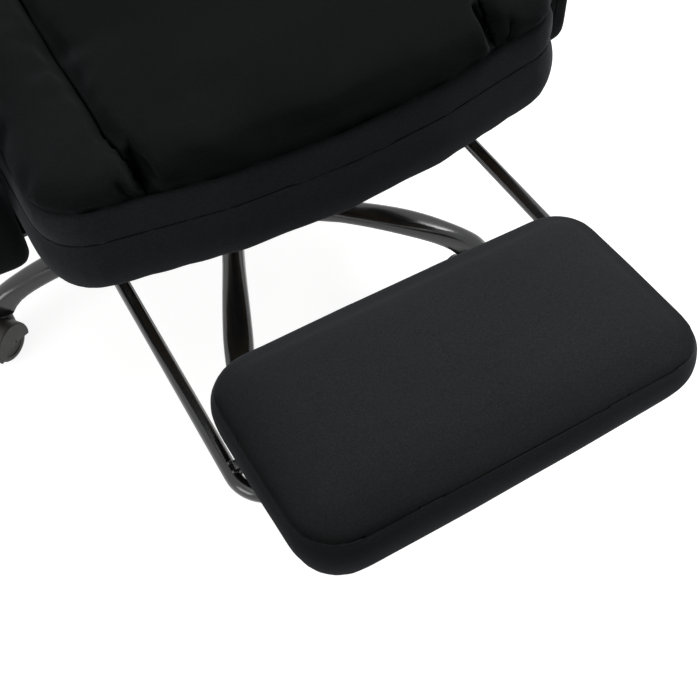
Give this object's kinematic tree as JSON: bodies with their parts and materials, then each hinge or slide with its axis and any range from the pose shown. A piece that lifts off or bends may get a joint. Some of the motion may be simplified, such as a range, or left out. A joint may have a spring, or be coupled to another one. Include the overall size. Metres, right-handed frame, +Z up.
{
  "type": "reclining office chair",
  "caption": "Upholstered reclining office chair with a sliding flip-over footrest, padded loop armrests and a five-arm castor base.",
  "frame": {"origin": "on the floor, under the middle of the whole chair's box", "axes": "+Z up; the sitter faces -Y; +X is the sitter's left"},
  "size_m": [0.7102, 1.033, 1.1447],
  "materials": {
    "gloss_steel": "gloss black",
    "black_steel": "satin black",
    "bright_steel": "bright",
    "castor_nylon": "matt dark grey",
    "black_plastic": "fine grained black",
    "velvet": "short pile, soft sheen",
    "plywood": "bare"
  },
  "bodies": {
    "base": {"base_star": "gloss_steel", "gas_cylinder": "black_steel", "column_cover_lower": "black_plastic"},
    "cover_stage": {"column_cover_middle": "black_plastic"},
    "lift": {"gas_piston": "bright_steel", "column_cover_upper": "black_plastic"},
    "mechanism": {"tilt_housing": "black_steel", "tension_spring": "bright_steel", "tilt_pin": "bright_steel"},
    "knob": {"tension_knob": "black_plastic"},
    "lift_lever": {"height_lever": "black_plastic"},
    "seat": {"seat_plate": "black_steel", "seat_board": "plywood", "seat_cushion": "velvet", "seat_pillow": "velvet", "armrest_left": "velvet", "armrest_right": "velvet", "arm_pad_left": "velvet", "arm_pad_right": "velvet", "arm_bracket_left": "black_steel", "arm_bracket_right": "black_steel", "guide_bracket_left": "black_steel", "guide_bracket_right": "black_steel", "recliner_fixed_left": "black_steel", "recliner_fixed_right": "black_steel"},
    "footrest": {"footrest_frame": "gloss_steel"},
    "footrest_pad": {"footrest_board": "plywood", "footrest_cushion": "velvet", "footrest_clip_left": "black_steel", "footrest_clip_right": "black_steel"},
    "back": {"recliner_moving_left": "black_steel", "recliner_moving_right": "black_steel", "back_board": "plywood", "back_cushion": "velvet", "back_cover": "velvet", "lumbar_pillow": "velvet", "upper_pillow": "velvet", "headrest_pillow": "velvet"},
    "recline_handle": {"recline_shaft": "bright_steel", "recline_lever": "black_plastic"},
    "castor_1": {"castor_1_frame": "castor_nylon"},
    "castor_1_wheels": {"castor_1_axle": "bright_steel", "castor_1_wheel_left": "castor_nylon", "castor_1_wheel_right": "castor_nylon"},
    "castor_2": {"castor_2_frame": "castor_nylon"},
    "castor_2_wheels": {"castor_2_axle": "bright_steel", "castor_2_wheel_left": "castor_nylon", "castor_2_wheel_right": "castor_nylon"},
    "castor_3": {"castor_3_frame": "castor_nylon"},
    "castor_3_wheels": {"castor_3_axle": "bright_steel", "castor_3_wheel_left": "castor_nylon", "castor_3_wheel_right": "castor_nylon"},
    "castor_4": {"castor_4_frame": "castor_nylon"},
    "castor_4_wheels": {"castor_4_axle": "bright_steel", "castor_4_wheel_left": "castor_nylon", "castor_4_wheel_right": "castor_nylon"},
    "castor_5": {"castor_5_frame": "castor_nylon"},
    "castor_5_wheels": {"castor_5_axle": "bright_steel", "castor_5_wheel_left": "castor_nylon", "castor_5_wheel_right": "castor_nylon"}
  },
  "joints": [
    {"name": "height_slide", "type": "slide", "parent": "base", "child": "lift", "axis": [0, 0, 1], "range_m": [-0.04, 0.04]},
    {"name": "cover_slide", "type": "slide", "parent": "base", "child": "cover_stage", "axis": [0, 0, 1], "range_m": [-0.02, 0.02]},
    {"name": "seat_swivel", "type": "hinge", "parent": "lift", "child": "mechanism", "pos_m": [0.01565, 0.11132, 0.3], "axis": [0, 0, 1], "continuous": true},
    {"name": "seat_tilt", "type": "hinge", "parent": "mechanism", "child": "seat", "pos_m": [0.01565, 0.04632, 0.356], "axis": [-1, 0, 0], "range_deg": [0, 12], "stiffness_Nm_per_rad": 300, "springref_deg": -20.05},
    {"name": "tension_turn", "type": "hinge", "parent": "mechanism", "child": "knob", "pos_m": [0.01565, 0.02732, 0.305], "axis": [0, 0, 1], "range_deg": [-720, 720]},
    {"name": "height_lever_lift", "type": "hinge", "parent": "mechanism", "child": "lift_lever", "pos_m": [-0.03785, 0.07932, 0.34], "axis": [0, 1, 0], "range_deg": [0, 6], "stiffness_Nm_per_rad": 3, "springref_deg": -5.73},
    {"name": "footrest_slide", "type": "slide", "parent": "seat", "child": "footrest", "axis": [0, 1, 0], "range_m": [0, 0.24]},
    {"name": "footrest_flip", "type": "hinge", "parent": "footrest", "child": "footrest_pad", "pos_m": [0.01565, -0.40968, 0.293], "axis": [1, 0, 0], "range_deg": [0, 180]},
    {"name": "back_recline", "type": "hinge", "parent": "seat", "child": "back", "pos_m": [0.01565, 0.32532, 0.43], "axis": [-1, 0, 0], "range_deg": [-6, 33]},
    {"name": "recline_release", "type": "hinge", "parent": "seat", "child": "recline_handle", "pos_m": [0.01565, 0.32532, 0.43], "axis": [-1, 0, 0], "range_deg": [0, 25], "stiffness_Nm_per_rad": 3, "springref_deg": -8.59},
    {"name": "castor_1_swivel", "type": "hinge", "parent": "base", "child": "castor_1", "pos_m": [0.28622, 0.27262, 0.06], "axis": [0, 0, 1], "continuous": true},
    {"name": "castor_1_roll", "type": "hinge", "parent": "castor_1", "child": "castor_1_wheels", "pos_m": [0.26367, 0.26441, 0.026], "axis": [0.342, -0.9397, 0], "continuous": true},
    {"name": "castor_2_swivel", "type": "hinge", "parent": "base", "child": "castor_2", "pos_m": [-0.05414, 0.41849, 0.06], "axis": [0, 0, 1], "continuous": true},
    {"name": "castor_2_roll", "type": "hinge", "parent": "castor_2", "child": "castor_2_wheels", "pos_m": [-0.06428, 0.39674, 0.026], "axis": [0.9063, -0.4226, 0], "continuous": true},
    {"name": "castor_3_swivel", "type": "hinge", "parent": "base", "child": "castor_3", "pos_m": [-0.29806, 0.13987, 0.06], "axis": [0, 0, 1], "continuous": true},
    {"name": "castor_3_roll", "type": "hinge", "parent": "castor_3", "child": "castor_3_wheels", "pos_m": [-0.31772, 0.12611, 0.026], "axis": [0.5736, -0.8192, 0], "continuous": true},
    {"name": "castor_4_swivel", "type": "hinge", "parent": "base", "child": "castor_4", "pos_m": [-0.10844, -0.17821, 0.06], "axis": [0, 0, 1], "continuous": true},
    {"name": "castor_4_roll", "type": "hinge", "parent": "castor_4", "child": "castor_4_wheels", "pos_m": [-0.08454, -0.17611, 0.026], "axis": [-0.0872, 0.9962, 0], "continuous": true},
    {"name": "castor_5_swivel", "type": "hinge", "parent": "base", "child": "castor_5", "pos_m": [0.25266, -0.09617, 0.06], "axis": [0, 0, 1], "continuous": true},
    {"name": "castor_5_roll", "type": "hinge", "parent": "castor_5", "child": "castor_5_wheels", "pos_m": [0.23091, -0.10631, 0.026], "axis": [0.4226, -0.9063, 0], "continuous": true}
  ],
  "couplings": [
    {"joint": "cover_slide", "follows": "height_slide", "ratio": 0.5}
  ]
}
